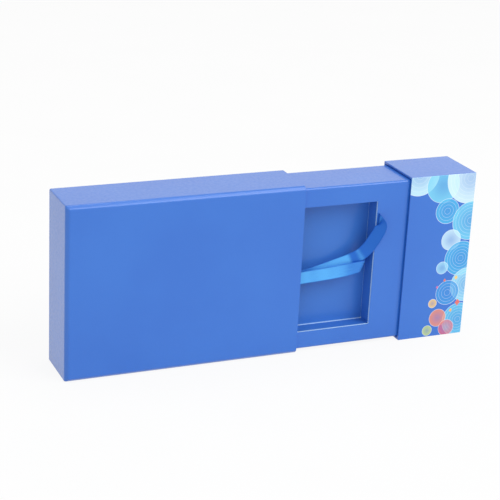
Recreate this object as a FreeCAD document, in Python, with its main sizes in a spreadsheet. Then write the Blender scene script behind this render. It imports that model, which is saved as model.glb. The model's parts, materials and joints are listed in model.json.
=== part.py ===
"""Sliding drawer gift box: a paper-covered board sleeve, closed at its left end, and a drawer that slides
out of its right end. The drawer is a shallow tray with a windowed platform over a lined well, a lift ribbon
and a short closed cap that is flush with the sleeve when the box is shut.

Millimetres. The box stands on its long narrow side. The origin is the centre of the sleeve's underside:
+X is the way the drawer slides out, -Y is the front and +Z is up. The drawer is drawn out by "opening".
"""
import FreeCAD, Part
import os

import Sketcher

DOC = FreeCAD.newDocument("drawer_gift_box")

# Driving sizes, in millimetres.
SIZES = [
    ("sleeve_length", 191.0, "outside length of the sleeve"),
    ("box_depth", 47.5, "outside depth, front to back"),
    ("box_height", 140.0, "outside height, standing on the long narrow side"),
    ("edge_bevel", 2.5, "legs of the bevel along the sleeve's folded edges"),
    ("paper", 0.25, "covering paper"),
    ("board", 1.5, "greyboard of the sleeve and the tray"),
    ("lining", 0.25, "lining paper of the sleeve and the well"),
    ("slide_clearance", 0.5, "gap between the tray and the sleeve's lining, each side"),
    ("end_gap", 1.0, "gap behind the tray when the box is shut"),
    ("mouth_gap", 0.3, "gap between the sleeve's mouth and the cap when the box is shut"),
    ("opening", 92.0, "from the sleeve's mouth to the cap's rim, as drawn out"),
    ("cap_length", 59.0, "outside length of the cap"),
    ("rim_left", 15.0, "platform left of the window"),
    ("rim_right", 27.3, "platform between the window and the cap"),
    ("rim_top", 15.5, "platform above the window"),
    ("rim_bottom", 14.7, "platform below the window"),
    ("recess_depth", 15.3, "from the platform's face to the well's floor"),
    ("recess_card", 1.0, "card of the well's walls"),
    ("bare_strip", 1.2, "height of bare card left along the floor by the well's lining"),
    ("floor_card", 1.5, "card of the well's floor"),
    ("riser_card", 1.0, "card of the folded risers"),
    ("riser_width", 24.0, "width of each riser"),
    ("riser_inset", 12.0, "from the window's edges to the risers, and to their ends"),
    ("ribbon_width", 10.0, "satin ribbon"),
    ("ribbon_thickness", 0.35, "satin ribbon"),
    ("ribbon_tail", 14.0, "ribbon glued behind the platform"),
    ("slit_width", 0.8, "slit for the ribbon"),
    ("slit_play", 0.3, "slit beyond each edge of the ribbon"),
    ("slit_margin", 0.1, "from the well's wall to the slit"),
    ("slit_drop", 15.3, "from the window's top edge to the slit's centre"),
]


def make_sheet():
    sizes = DOC.addObject("Spreadsheet::Sheet", "sizes")
    for row, (alias, number, note) in enumerate(SIZES, start=1):
        sizes.set(f"A{row}", alias)
        sizes.set(f"B{row}", str(number))
        sizes.setAlias(f"B{row}", alias)
        sizes.set(f"C{row}", note)
    DOC.recompute()
    return sizes


SHEET = make_sheet()


def total(*terms):
    """Expression that adds terms; a bare word is an alias of the sheet, and a leading minus takes it away."""
    text = ""
    for term in terms:
        sign = "-" if term.startswith("-") else "+"
        word = term.lstrip("-")
        text += f" {sign} " + (f"sizes.{word}" if word.isidentifier() else word)
    return f"({text.strip(' +')})"


def value(expression):
    """The number that an expression has now."""
    return float(SHEET.evalExpression(expression))


# Places, as expressions on the sheet. The sleeve and the cap share one outside section.
HALF_LENGTH = "(sizes.sleeve_length / 2)"
LEFT = f"(-{HALF_LENGTH})"
MOUTH = HALF_LENGTH
FRONT = "(-sizes.box_depth / 2)"
BACK = "(sizes.box_depth / 2)"
TOP = "(sizes.box_height)"
WALL = total("paper", "board")
INSET = total(WALL, "lining", "slide_clearance")

CAP_LEFT = total(MOUTH, "opening")
CAP_RIGHT = total(CAP_LEFT, "cap_length")
CAP_BOARD = total(INSET, "-paper")

TRAY_LEFT = total(LEFT, WALL, "lining", "end_gap", "opening", "-mouth_gap")
TRAY_RIGHT = f"({CAP_RIGHT} - {INSET})"
TRAY_FRONT = f"({FRONT} + {INSET})"
TRAY_BACK = f"({BACK} - {INSET})"
TRAY_BOTTOM = INSET
TRAY_TOP = f"({TOP} - {INSET})"
PLATFORM_BACK = f"({TRAY_FRONT} + {WALL})"

WINDOW_LEFT = total(TRAY_LEFT, "rim_left")
WINDOW_RIGHT = total(CAP_LEFT, "-rim_right")
WINDOW_BOTTOM = total(TRAY_BOTTOM, "rim_bottom")
WINDOW_TOP = total(TRAY_TOP, "-rim_top")
FLOOR = total(TRAY_FRONT, "recess_depth")
WELL_SIDE = total("lining", "recess_card")

SLIT_LEFT = total(WINDOW_RIGHT, WELL_SIDE, "slit_margin")
SLIT_HALF = total("slit_play", "(sizes.ribbon_width / 2)")
SLIT_BOTTOM = f"({WINDOW_TOP} - sizes.slit_drop - {SLIT_HALF})"

OVERSHOOT = "1"  # how far a cutting block runs past the face that it opens
EXPORTED = []


def span(low, high):
    return f"({high} - {low})"


def keep(feature):
    """Marks a finished piece; its label names its file."""
    feature.Label = feature.Name
    EXPORTED.append(feature)
    return feature


def place(feature, x, y, z):
    for axis, expression in zip("xyz", (x, y, z)):
        feature.setExpression(f"Placement.Base.{axis}", expression)


def block(name, low, high):
    """Box from its lowest to its highest corner, each three expressions."""
    box = DOC.addObject("Part::Box", name)
    for side, start, end in zip(("Length", "Width", "Height"), low, high):
        box.setExpression(side, span(start, end))
    place(box, *low)
    return box


def cut(name, base, *tools):
    """base less the tools, which are joined first where there are several."""
    tool = tools[0]
    if len(tools) > 1:
        tool = DOC.addObject("Part::MultiFuse", f"{name}_tools")
        tool.Shapes = list(tools)
    result = DOC.addObject("Part::Cut", name)
    result.Base = base
    result.Tool = tool
    return result


def common(name, base, tool):
    result = DOC.addObject("Part::Common", name)
    result.Base = base
    result.Tool = tool
    return result


# PartDesign helpers. A sketch on XZ_Plane looks along +Y, so its pad is reversed to run towards the back.
def new_sketch(body, role, name):
    plane = next(f for f in body.Origin.OriginFeatures if f.Role == role)
    sketch = body.newObject("Sketcher::SketchObject", f"{body.Name}_{name}")
    sketch.AttachmentSupport = [(plane, "")]
    sketch.MapMode = "FlatFace"
    return sketch


def outline(sketch, points):
    """Closed outline through points, each two expressions measured from the sketch's origin."""
    corners = [FreeCAD.Vector(value(a), value(b), 0) for a, b in points]
    first = sketch.GeometryCount
    count = len(corners)
    for i, corner in enumerate(corners):
        sketch.addGeometry(Part.LineSegment(corner, corners[(i + 1) % count]), False)
    for i in range(count):
        sketch.addConstraint(
            Sketcher.Constraint("Coincident", first + i, 2, first + (i + 1) % count, 1)
        )
    for i, (pair, corner) in enumerate(zip(points, corners)):
        for kind, expression, number in zip(("DistanceX", "DistanceY"), pair, corner):
            index = sketch.addConstraint(Sketcher.Constraint(kind, -1, 1, first + i, 1, number))
            name = f"{kind[-1].lower()}_{first + i}"
            sketch.renameConstraint(index, name)
            sketch.setExpression(f"Constraints.{name}", expression)


def rectangle(sketch, left, bottom, right, top):
    outline(sketch, [(left, bottom), (right, bottom), (right, top), (left, top)])


def pad(body, sketch, length, backwards=False):
    feature = body.newObject("PartDesign::Pad", f"{body.Name}_pad")
    feature.Profile = sketch
    feature.Reversed = backwards
    feature.setExpression("Length", length)
    body.Tip = feature
    return feature


def pocket_through(body, sketch, name):
    """Cuts the sketch right through the body, both ways."""
    feature = body.newObject("PartDesign::Pocket", f"{body.Name}_{name}")
    feature.Profile = sketch
    feature.Type = "ThroughAll"
    feature.Midplane = True
    body.Tip = feature
    return feature


def upright_panel(name, low, high, holes=()):
    """Flat panel that faces the front, cut as a sketch with its holes, each (left, bottom, right, top)."""
    body = DOC.addObject("PartDesign::Body", name)
    sketch = new_sketch(body, "XZ_Plane", "sketch")
    rectangle(sketch, "0", "0", span(low[0], high[0]), span(low[2], high[2]))
    for left, bottom, right, top in holes:
        rectangle(
            sketch,
            span(low[0], left),
            span(low[2], bottom),
            span(low[0], right),
            span(low[2], top),
        )
    pad(body, sketch, span(low[1], high[1]), backwards=True)
    place(body, *low)
    return body


def flat_panel(name, low, high):
    """Flat panel that lies level, cut as a sketch."""
    body = DOC.addObject("PartDesign::Body", name)
    sketch = new_sketch(body, "XY_Plane", "sketch")
    rectangle(sketch, "0", "0", span(low[0], high[0]), span(low[1], high[1]))
    pad(body, sketch, span(low[2], high[2]))
    place(body, *low)
    return body


def end_panel(name, low, high):
    """Flat panel that faces left and right, cut as a sketch."""
    body = DOC.addObject("PartDesign::Body", name)
    sketch = new_sketch(body, "YZ_Plane", "sketch")
    rectangle(sketch, "0", "0", span(low[1], high[1]), span(low[2], high[2]))
    pad(body, sketch, span(low[0], high[0]))
    place(body, *low)
    return body


def bevelled_block(name, margin):
    """Solid inside of the sleeve's outside by margin: its long edges and its left end's upright edges have
    bevels, and each bevel's face lies margin inside the outer one's."""
    long_side = f"(sizes.box_depth - 2 * {margin})"
    tall_side = f"(sizes.box_height - 2 * {margin})"
    length = f"(sizes.sleeve_length - 2 * {margin})"
    leg = f"(sizes.edge_bevel - {margin} * (2 - sqrt(2)))"
    body = DOC.addObject("PartDesign::Body", name)
    section = new_sketch(body, "YZ_Plane", "section")
    outline(
        section,
        [
            (leg, "0"),
            (f"({long_side} - {leg})", "0"),
            (long_side, leg),
            (long_side, f"({tall_side} - {leg})"),
            (f"({long_side} - {leg})", tall_side),
            (leg, tall_side),
            ("0", f"({tall_side} - {leg})"),
            ("0", leg),
        ],
    )
    pad(body, section, length)
    front_corner = new_sketch(body, "XY_Plane", "front_corner")
    outline(front_corner, [("0", "0"), (leg, "0"), ("0", leg)])
    pocket_through(body, front_corner, "front_bevel")
    back_corner = new_sketch(body, "XY_Plane", "back_corner")
    outline(
        back_corner,
        [("0", long_side), ("0", f"({long_side} - {leg})"), (leg, long_side)],
    )
    pocket_through(body, back_corner, "back_bevel")
    place(body, f"({LEFT} + {margin})", f"({FRONT} + {margin})", margin)
    return body


def make_sleeve():
    outside = bevelled_block("sleeve_outside", "0")
    core = bevelled_block("sleeve_core", "sizes.paper")
    bore_left = f"({LEFT} + {WALL})"
    bore_front = f"({FRONT} + {WALL})"
    bore_back = f"({BACK} - {WALL})"
    bore_top = f"({TOP} - {WALL})"

    # Front and back boards are full size, top and bottom fit between them, and the end fits inside all four.
    walls = {
        "sleeve_front_board": ((LEFT, FRONT, "0"), (MOUTH, bore_front, TOP)),
        "sleeve_back_board": ((LEFT, bore_back, "0"), (MOUTH, BACK, TOP)),
        "sleeve_top_board": ((LEFT, bore_front, bore_top), (MOUTH, bore_back, TOP)),
        "sleeve_bottom_board": ((LEFT, bore_front, "0"), (MOUTH, bore_back, WALL)),
        "sleeve_end_board": ((LEFT, bore_front, WALL), (bore_left, bore_back, bore_top)),
    }
    for name, (low, high) in walls.items():
        keep(common(name, core, block(f"{name}_blank", low, high)))

    base = flat_panel(
        "sleeve_base_paper",
        (total(LEFT, "paper"), total(FRONT, "edge_bevel"), "0"),
        (MOUTH, total(BACK, "-edge_bevel"), "(sizes.paper)"),
    )
    bore_low = (bore_left, bore_front, WALL)
    bore = block("sleeve_bore", bore_low, (total(MOUTH, OVERSHOOT), bore_back, bore_top))
    keep(cut("sleeve_wrap", outside, core, bore, base))
    keep(base)

    lining_blank = block("sleeve_lining_blank", bore_low, (MOUTH, bore_back, bore_top))
    cavity = block(
        "sleeve_cavity",
        tuple(total(edge, "lining") for edge in bore_low),
        (total(MOUTH, OVERSHOOT), total(bore_back, "-lining"), total(bore_top, "-lining")),
    )
    keep(cut("sleeve_lining", lining_blank, cavity))


def make_tray():
    board_left = total(TRAY_LEFT, "paper")
    board_bottom = total(TRAY_BOTTOM, "paper")
    board_top = total(TRAY_TOP, "-paper")
    back_outer = total(TRAY_BACK, "-paper")
    back_inner = f"({TRAY_BACK} - {WALL})"
    wall_left = f"({TRAY_LEFT} + {WALL})"
    wall_right = total(TRAY_RIGHT, "-board")
    wall_bottom = f"({TRAY_BOTTOM} + {WALL})"
    wall_top = f"({TRAY_TOP} - {WALL})"

    keep(
        upright_panel(
            "tray_back_board",
            (board_left, back_inner, board_bottom),
            (TRAY_RIGHT, back_outer, board_top),
        )
    )
    keep(
        flat_panel(
            "tray_top_wall",
            (board_left, PLATFORM_BACK, wall_top),
            (TRAY_RIGHT, back_inner, board_top),
        )
    )
    keep(
        flat_panel(
            "tray_bottom_wall",
            (board_left, PLATFORM_BACK, board_bottom),
            (TRAY_RIGHT, back_inner, wall_bottom),
        )
    )
    keep(
        end_panel(
            "tray_left_wall",
            (board_left, PLATFORM_BACK, wall_bottom),
            (wall_left, back_inner, wall_top),
        )
    )
    keep(
        end_panel(
            "tray_right_wall",
            (wall_right, PLATFORM_BACK, wall_bottom),
            (TRAY_RIGHT, back_inner, wall_top),
        )
    )

    face_back = total(TRAY_FRONT, "paper")
    wrap_blank = block(
        "tray_wrap_blank", (TRAY_LEFT, face_back, TRAY_BOTTOM), (TRAY_RIGHT, TRAY_BACK, TRAY_TOP)
    )
    wrap_core = block(
        "tray_wrap_core",
        (board_left, TRAY_FRONT, board_bottom),
        (total(TRAY_RIGHT, OVERSHOOT), back_outer, board_top),
    )
    keep(cut("tray_wrap", wrap_blank, wrap_core))


def make_platform():
    window = (WINDOW_LEFT, WINDOW_BOTTOM, WINDOW_RIGHT, WINDOW_TOP)
    slit = (
        SLIT_LEFT,
        SLIT_BOTTOM,
        total(SLIT_LEFT, "slit_width"),
        f"({SLIT_BOTTOM} + 2 * {SLIT_HALF})",
    )
    face_back = total(TRAY_FRONT, "paper")
    keep(
        upright_panel(
            "platform_paper",
            (TRAY_LEFT, TRAY_FRONT, TRAY_BOTTOM),
            (TRAY_RIGHT, face_back, TRAY_TOP),
            [window, slit],
        )
    )
    keep(
        upright_panel(
            "platform_board",
            (total(TRAY_LEFT, "paper"), face_back, total(TRAY_BOTTOM, "paper")),
            (TRAY_RIGHT, PLATFORM_BACK, total(TRAY_TOP, "-paper")),
            [window, slit],
        )
    )


def make_recess():
    card_left = f"({WINDOW_LEFT} - {WELL_SIDE})"
    card_right = f"({WINDOW_RIGHT} + {WELL_SIDE})"
    card_bottom = f"({WINDOW_BOTTOM} - {WELL_SIDE})"
    card_top = f"({WINDOW_TOP} + {WELL_SIDE})"
    lining_left = total(WINDOW_LEFT, "-lining")
    lining_right = total(WINDOW_RIGHT, "lining")
    lining_bottom = total(WINDOW_BOTTOM, "-lining")
    lining_top = total(WINDOW_TOP, "lining")

    # Four card walls stand between the platform and the floor, the long ones across the short ones' ends.
    keep(
        flat_panel(
            "recess_wall_top", (card_left, PLATFORM_BACK, lining_top), (card_right, FLOOR, card_top)
        )
    )
    keep(
        flat_panel(
            "recess_wall_bottom",
            (card_left, PLATFORM_BACK, card_bottom),
            (card_right, FLOOR, lining_bottom),
        )
    )
    keep(
        end_panel(
            "recess_wall_left",
            (card_left, PLATFORM_BACK, lining_bottom),
            (lining_left, FLOOR, lining_top),
        )
    )
    keep(
        end_panel(
            "recess_wall_right",
            (lining_right, PLATFORM_BACK, lining_bottom),
            (card_right, FLOOR, lining_top),
        )
    )
    keep(
        upright_panel(
            "recess_lining",
            (lining_left, PLATFORM_BACK, lining_bottom),
            (lining_right, total(FLOOR, "-bare_strip"), lining_top),
            [(WINDOW_LEFT, WINDOW_BOTTOM, WINDOW_RIGHT, WINDOW_TOP)],
        )
    )

    floor_back = total(FLOOR, "paper")
    card_back = total(floor_back, "floor_card")
    keep(
        upright_panel(
            "recess_floor_paper", (card_left, FLOOR, card_bottom), (card_right, floor_back, card_top)
        )
    )
    keep(
        upright_panel(
            "recess_floor_card",
            (card_left, floor_back, card_bottom),
            (card_right, card_back, card_top),
        )
    )

    # Channels folded from card carry the floor on the tray's back board.
    make_riser("riser_lower", card_back, total(WINDOW_BOTTOM, "riser_inset"))
    make_riser("riser_upper", card_back, total(WINDOW_TOP, "-riser_inset", "-riser_width"))


def make_riser(name, web_front, bottom):
    depth = f"({TRAY_BACK} - {WALL} - {web_front})"
    left = total(WINDOW_LEFT, "riser_inset")
    right = total(WINDOW_RIGHT, "-riser_inset")
    inner_top = "(sizes.riser_width - sizes.riser_card)"
    body = DOC.addObject("PartDesign::Body", name)
    sketch = new_sketch(body, "YZ_Plane", "sketch")
    outline(
        sketch,
        [
            ("0", "0"),
            (depth, "0"),
            (depth, "sizes.riser_card"),
            ("sizes.riser_card", "sizes.riser_card"),
            ("sizes.riser_card", inner_top),
            (depth, inner_top),
            (depth, "sizes.riser_width"),
            ("0", "sizes.riser_width"),
        ],
    )
    pad(body, sketch, span(left, right))
    place(body, left, web_front, bottom)
    keep(body)


def make_cap():
    board_left = total(CAP_LEFT, "paper")
    board_right = total(CAP_RIGHT, "-paper")
    inner_front = f"({FRONT} + {INSET})"
    inner_back = f"({BACK} - {INSET})"
    paper_top = total(TOP, "-paper")
    keep(
        upright_panel(
            "cap_front_board",
            (board_left, total(FRONT, "paper"), "(sizes.paper)"),
            (board_right, inner_front, paper_top),
        )
    )
    keep(
        upright_panel(
            "cap_back_board",
            (board_left, inner_back, "(sizes.paper)"),
            (board_right, total(BACK, "-paper"), paper_top),
        )
    )
    keep(
        flat_panel(
            "cap_top_board",
            (board_left, inner_front, f"({TOP} - {INSET})"),
            (board_right, inner_back, paper_top),
        )
    )
    keep(
        flat_panel(
            "cap_bottom_board",
            (board_left, inner_front, "(sizes.paper)"),
            (board_right, inner_back, INSET),
        )
    )
    keep(
        end_panel(
            "cap_end_board",
            (f"({board_right} - {CAP_BOARD})", inner_front, INSET),
            (board_right, inner_back, f"({TOP} - {INSET})"),
        )
    )
    base = flat_panel(
        "cap_base_paper",
        (board_left, total(FRONT, "paper"), "0"),
        (board_right, total(BACK, "-paper"), "(sizes.paper)"),
    )
    outside = block("cap_outside", (CAP_LEFT, FRONT, "0"), (CAP_RIGHT, BACK, TOP))
    core = block(
        "cap_core",
        (board_left, total(FRONT, "paper"), "(sizes.paper)"),
        (board_right, total(BACK, "-paper"), paper_top),
    )
    mouth = block(
        "cap_mouth",
        (total(CAP_LEFT, f"-{OVERSHOOT}"), inner_front, INSET),
        (board_right, inner_back, f"({TOP} - {INSET})"),
    )
    keep(cut("cap_wrap", outside, core, mouth, base))
    keep(base)


# The ribbon, from the slit: its centre line, from the slit's mouth in the platform's face, and the way
# that its width points there. It turns down out of the slit, crosses the well behind the sleeve's mouth,
# folds back on itself and ends in a slanting cut.
RIBBON_STATIONS = [
    ((0.0, -2.9, -0.5), (0.0, -0.34, 0.94)),
    ((0.0, -4.5, -2.0), (0.6, -0.69, 0.42)),
    ((0.1, -4.3, -5.9), (0.79, -0.62, 0.04)),
    ((-1.1, -3.2, -10.1), (0.77, -0.63, -0.1)),
    ((-2.7, -1.8, -14.3), (0.74, -0.55, -0.39)),
    ((-5.5, 0.8, -21.8), (0.68, -0.37, -0.64)),
    ((-8.9, 3.0, -27.3), (0.58, -0.30, -0.76)),
    ((-13.2, 5.1, -31.6), (0.48, -0.22, -0.86)),
    ((-20.3, 6.7, -35.0), (0.34, -0.26, -0.91)),
    ((-30.9, 8.0, -38.5), (0.28, -0.3, -0.91)),
    ((-43.4, 9.0, -42.3), (0.28, -0.28, -0.92)),
    ((-57.0, 9.7, -45.6), (0.2, -0.2, -0.96)),
    ((-71.0, 9.8, -48.0), (0.12, -0.1, -0.99)),
    ((-86.0, 9.6, -49.3), (0.05, 0.0, -1.0)),
    ((-93.0, 8.9, -49.4), (0.0, 0.0, -1.0)),
    ((-95.6, 7.2, -49.2), (0.0, 0.0, -1.0)),
    ((-93.4, 5.5, -48.9), (0.0, 0.0, -1.0)),
    ((-87.0, 4.7, -48.2), (0.06, 0.0, -1.0)),
    ((-75.0, 4.7, -46.6), (0.08, 0.0, -1.0)),
    ((-62.3, 4.9, -45.0), (0.07, -0.03, -1.0)),
    ((-49.0, 4.4, -44.1), (0.08, -0.08, -1.0)),
    ((-34.4, 3.7, -43.0), (0.1, -0.1, -0.99)),
    ((-19.6, 3.2, -41.2), (0.08, -0.1, -0.99)),
    ((-9.7, 2.7, -39.6), (-0.36, 0.05, -0.94)),
]

# Where the bend's middle lies: shares of half the slit's width, from its centre, and of the ribbon's
# thickness, from the glued tail's centre line.
BEND_CORNER = (0.3, 0.1)


def ribbon_stations():
    """All stations in the ribbon's own frame. Its tail is glued on the platform's back, and it bends round
    the slit's back edge to come out of the front."""
    thickness = value("sizes.ribbon_thickness")
    slit_edge = value("sizes.slit_width") / 2
    glued = value(f"{PLATFORM_BACK} - {TRAY_FRONT}") + thickness / 2
    upright = (0.0, 0.0, 1.0)
    lead = [
        ((value("sizes.ribbon_tail"), glued, 0.0), upright),
        ((slit_edge, glued, 0.0), upright),
        ((slit_edge * BEND_CORNER[0], glued - thickness * BEND_CORNER[1], 0.0), upright),
        ((0.0, glued - thickness, 0.0), upright),
        ((0.0, 0.0, 0.0), upright),
    ]
    return [
        (FreeCAD.Vector(*centre), FreeCAD.Vector(*across).normalize())
        for centre, across in lead + RIBBON_STATIONS
    ]


def ribbon_sections(stations, half_width, half_thickness):
    """The band's four corners at each station, in turn round its section."""
    sections = []
    for i, (centre, across) in enumerate(stations):
        ahead = stations[min(i + 1, len(stations) - 1)][0]
        behind = stations[max(i - 1, 0)][0]
        normal = (ahead - behind).cross(across).normalize()
        sections.append(
            [
                centre + across * (half_width * u) + normal * (half_thickness * v)
                for u, v in ((-1, -1), (1, -1), (1, 1), (-1, 1))
            ]
        )
    return sections


def ribbon_faces(sections):
    """Flat triangles over the band. The two broad sides are split along the same diagonals, which keeps the
    band's thickness where it twists."""
    first, last = sections[0], sections[-1]
    corners = [
        (first[0], first[1], first[2]),
        (first[0], first[2], first[3]),
        (last[0], last[2], last[1]),
        (last[0], last[3], last[2]),
    ]
    for near, far in zip(sections, sections[1:]):
        for a, b in ((0, 1), (3, 2), (1, 2), (0, 3)):
            corners.append((near[a], near[b], far[b]))
            corners.append((near[a], far[b], far[a]))
    return [Part.Face(Part.makePolygon([a, b, c, a])) for a, b, c in corners]


def make_ribbon():
    half_width = value("sizes.ribbon_width") / 2
    half_thickness = value("sizes.ribbon_thickness") / 2
    sections = ribbon_sections(ribbon_stations(), half_width, half_thickness)
    skin = Part.makeCompound(ribbon_faces(sections))
    skin.sewShape()
    band = Part.makeSolid(skin.Shells[0])
    if band.Volume < 0:
        band.reverse()
    ribbon = DOC.addObject("Part::Feature", "lift_ribbon")
    ribbon.Shape = band
    ribbon.Placement.Base = FreeCAD.Vector(
        value(total(SLIT_LEFT, "(sizes.slit_width / 2)")),
        value(TRAY_FRONT),
        value(total(WINDOW_TOP, "-slit_drop")),
    )
    keep(ribbon)


def check_and_export():
    DOC.recompute()
    for feature in DOC.Objects:
        if {"Invalid", "Error"} & set(feature.State):
            raise RuntimeError(f"{feature.Name} failed: {feature.State}")
    os.makedirs("parts", exist_ok=True)
    for feature in EXPORTED:
        shape = feature.Shape
        if shape.isNull() or not shape.isValid() or len(shape.Solids) != 1:
            raise RuntimeError(f"{feature.Label} is not one sound solid")
    for feature in EXPORTED:
        feature.Shape.exportStep(os.path.join("parts", f"{feature.Label}.step"))


make_sleeve()
make_tray()
make_platform()
make_recess()
make_ribbon()
make_cap()
check_and_export()
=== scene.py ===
"""Looks of the sliding drawer gift box: folded covering papers with turned edges, cut board, a satin lift
ribbon and a printed end cap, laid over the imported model. Metres; -Y is the front, +X the way that the drawer
slides out and +Z up."""
import json
import math

import bmesh
import bpy
from mathutils import Matrix, Vector


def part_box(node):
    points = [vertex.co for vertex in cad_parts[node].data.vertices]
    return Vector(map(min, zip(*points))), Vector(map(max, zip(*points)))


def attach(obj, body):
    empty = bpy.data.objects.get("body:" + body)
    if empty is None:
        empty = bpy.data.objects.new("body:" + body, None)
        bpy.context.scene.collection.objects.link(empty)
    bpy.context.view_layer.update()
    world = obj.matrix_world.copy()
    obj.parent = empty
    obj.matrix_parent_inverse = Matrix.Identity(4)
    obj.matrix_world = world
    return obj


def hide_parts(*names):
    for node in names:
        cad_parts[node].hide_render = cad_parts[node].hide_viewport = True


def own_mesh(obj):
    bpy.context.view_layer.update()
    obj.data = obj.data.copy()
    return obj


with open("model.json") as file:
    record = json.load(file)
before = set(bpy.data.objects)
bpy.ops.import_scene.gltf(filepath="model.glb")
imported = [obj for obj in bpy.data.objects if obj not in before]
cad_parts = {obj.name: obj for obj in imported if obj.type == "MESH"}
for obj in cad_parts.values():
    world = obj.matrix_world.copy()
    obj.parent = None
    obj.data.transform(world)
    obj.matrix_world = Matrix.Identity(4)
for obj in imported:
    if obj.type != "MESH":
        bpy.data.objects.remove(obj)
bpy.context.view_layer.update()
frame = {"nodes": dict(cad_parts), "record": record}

MM = 0.001

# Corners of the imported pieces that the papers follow.
SLEEVE_LOW, SLEEVE_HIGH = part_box("sleeve_wrap")
LINING_LOW, LINING_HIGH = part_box("sleeve_lining")
TRAY_LOW, TRAY_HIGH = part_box("platform_paper")
TRAY_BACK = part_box("tray_wrap")[1].y
WELL_LOW, WELL_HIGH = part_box("recess_lining")
CAP_LOW, CAP_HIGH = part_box("cap_wrap")

# Thickness of the papers, of the strips under sleeve and cap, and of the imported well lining.
PAPER = 0.2 * MM
STRIP = 0.11 * MM
LINING_PAPER = 0.25 * MM

# The sleeve: its bevelled arrises, its wall, the corners inside it, the paper turned in at its mouth and how
# far short of that paper its lining stops.
SLEEVE_BEVEL = 2.5 * MM
SLEEVE_WALL = 1.95 * MM
BORE_CORNER = 0.8 * MM
MOUTH_TURN_IN = 4.2 * MM
LINING_STOP = 0.3 * MM

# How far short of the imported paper's end the tray's cover stops.
TRAY_STOP = 0.3 * MM

# The well's lining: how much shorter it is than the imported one, how much more it is cut back at its two lower
# corners, how much longer it is on the right wall, and how far up that wall this starts.
LINING_CUT_BACK = 0.2 * MM
LEFT_FOOT_CUT = 0.4 * MM
RIGHT_FOOT_CUT = 1.1 * MM
RIGHT_WALL_MORE = 0.8 * MM
RIGHT_WALL_RISE = 1.2 * MM

# The cap: its wall at the rim, and the paper turned in there.
CAP_RIM = 2.51 * MM
CAP_TURN_IN = 2.4 * MM

# How far in the strips under sleeve and cap lie from the arrises beside them, then from the sleeve's closed
# end and from both ends of the cap.
STRIP_MARGIN = 1.0 * MM
SLEEVE_STRIP_END = 2.4 * MM
CAP_STRIP_END = 0.6 * MM

# Folds of the papers and arrises of the boards: how round they are, and in how many steps.
SLEEVE_FOLD = (1.0 * MM, 5)
TRAY_FOLD = (2.0 * MM, 5)
CAP_RIM_FOLD = (1.6 * MM, 5)
TIGHT_FOLD = (0.4 * MM, 5)
SLEEVE_LINING_FOLD = (0.3 * MM, 2)
WELL_LINING_FOLD = (0.5 * MM, 3)
STRIP_EDGE = (0.03 * MM, 1)
PLATE_ARRIS = (1.45 * MM, 4)
PANEL_ARRIS = (0.2 * MM, 2)

# How far the greyboard panels are drawn in from the folds over them.
SLEEVE_FOLD_ROOM = 1.9 * MM
CAP_RIM_ROOM = 1.6 * MM
CAP_FOLD_ROOM = 0.3 * MM

# Edges that turn by more than CREASE_ANGLE are folded, and those over SHARP_ANGLE are shaded sharp. Two
# directions agree where their dot product is above SAME_WAY. PANEL_WEIGHT is how strongly large faces steer
# the shading.
CREASE_ANGLE = math.radians(20)
SHARP_ANGLE = math.radians(40)
SAME_WAY = 0.9
PANEL_WEIGHT = 80

# Points nearer than WELD are one, and a point nearer than TOUCH to a side lies on it. The linings stay a
# little clear of the surfaces round them, and holes are cut from a little before a board to a little beyond.
WELD = 0.001 * MM
TOUCH = 0.01 * MM
SLEEVE_LINING_GAP = 0.02 * MM
WELL_LINING_GAP = 0.01 * MM
CUT_BEYOND = 1.0 * MM

# The window and the ribbon's slit in the platform, each (low x, low z, high x, high z).
WINDOW = (
    WELL_LOW.x + LINING_PAPER,
    WELL_LOW.z + LINING_PAPER,
    WELL_HIGH.x - LINING_PAPER,
    WELL_HIGH.z - LINING_PAPER,
)
SLIT_FROM_WINDOW = 1.35 * MM
SLIT_WIDTH = 0.8 * MM
SLIT_DROP = 15.3 * MM
SLIT_HALF_HEIGHT = 5.3 * MM
SLIT = (
    WINDOW[2] + SLIT_FROM_WINDOW,
    WINDOW[3] - SLIT_DROP - SLIT_HALF_HEIGHT,
    WINDOW[2] + SLIT_FROM_WINDOW + SLIT_WIDTH,
    WINDOW[3] - SLIT_DROP + SLIT_HALF_HEIGHT,
)

# The camera: its place, then its azimuth, elevation and roll in degrees, then its lens and sensor in
# millimetres.
CAMERA_PLACE = (-0.3926, -1.0284, 0.4948)
CAMERA_ANGLES = (-23.81, 20.11, 2.92)
CAMERA_LENS = 109.75
CAMERA_SENSOR = 36.0

# The lamps, each with its place, side and power, and where they point.
LAMPS = [
    ("right lamp", (1.17, -1.47, 1.91), 1.8, 36.5),
    ("left lamp", (-1.3, -1.7, 1.2), 2.0, 5.0),
    ("top lamp", (0.2, 0.4, 1.9), 0.6, 5.0),
]
LAMP_AIM = (0.06, 0.0, 0.07)

# How much light the white surroundings give, then the floor's tones, its reach and how much of its look is
# plain white.
WHITE = (1.0, 1.0, 1.0, 1.0)
WORLD_LIGHT = 0.62
FLOOR_TONES = ((0.86, 0.86, 0.86, 1.0), (0.82, 0.82, 0.82, 1.0))
FLOOR_REACH = 6.0
FLOOR_OWN_LIGHT = 0.9


# ---------------------------------------------------------------- materials


class Wire:
    """A node's output socket. Arithmetic on it adds Math nodes."""

    def __init__(self, nodes, socket):
        self.nodes = nodes
        self.socket = socket

    def __add__(self, other):
        return self.nodes.calculate("ADD", self, other)

    def __radd__(self, other):
        return self.nodes.calculate("ADD", other, self)

    def __sub__(self, other):
        return self.nodes.calculate("SUBTRACT", self, other)

    def __rsub__(self, other):
        return self.nodes.calculate("SUBTRACT", other, self)

    def __mul__(self, other):
        return self.nodes.calculate("MULTIPLY", self, other)

    def __rmul__(self, other):
        return self.nodes.calculate("MULTIPLY", other, self)

    def __pow__(self, other):
        return self.nodes.calculate("POWER", self, other)


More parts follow.
